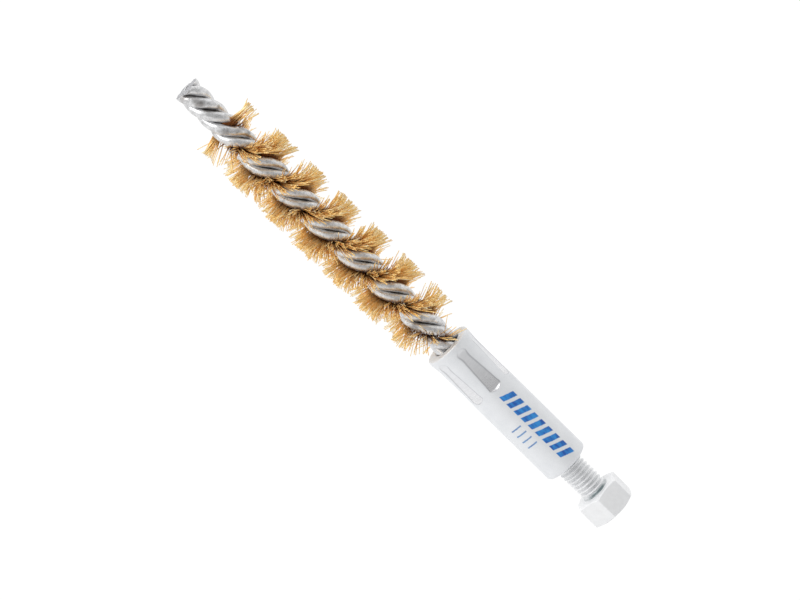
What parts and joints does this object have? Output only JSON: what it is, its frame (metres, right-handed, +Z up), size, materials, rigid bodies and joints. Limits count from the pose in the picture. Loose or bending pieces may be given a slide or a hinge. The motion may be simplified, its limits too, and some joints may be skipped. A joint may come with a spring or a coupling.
{
  "type": "twisted-wire tube brush",
  "caption": "Small round tube-cleaning brush: spiral brass bristles on a twisted steel wire stem, crimped into a metal collar with a hex-head threaded stud.",
  "frame": {"origin": "centre of the stud head's outer face", "axes": "+X along the brush from the stud head to the cut tip, +Z up and square to one flat of the hex head, +Y across"},
  "size_m": [0.1022, 0.0126, 0.0126],
  "materials": {
    "stud_steel": "bright zinc plated",
    "collar_metal": "satin",
    "stem_steel": "bright galvanised",
    "brass_bristle": "drawn wire"
  },
  "bodies": {
    "brush": {"collar": "collar_metal", "stem_wire_1": "stem_steel", "stem_wire_2": "stem_steel", "stem_wire_3": "stem_steel", "stem_wire_4": "stem_steel", "bristle_band_01": "brass_bristle", "bristle_band_02": "brass_bristle", "bristle_band_03": "brass_bristle", "bristle_band_04": "brass_bristle", "bristle_band_05": "brass_bristle", "bristle_band_06": "brass_bristle", "bristle_band_07": "brass_bristle", "bristle_band_08": "brass_bristle", "bristle_band_09": "brass_bristle", "bristle_band_10": "brass_bristle", "bristle_band_11": "brass_bristle", "bristle_band_12": "brass_bristle", "bristle_band_13": "brass_bristle", "bristle_band_14": "brass_bristle"},
    "stud": {"hex_stud": "stud_steel"}
  },
  "joints": [
    {"name": "stud_unscrew", "type": "slide", "parent": "brush", "child": "stud", "axis": [-1, 0, 0], "range_m": [-0.0015, 0.0105]}
  ]
}
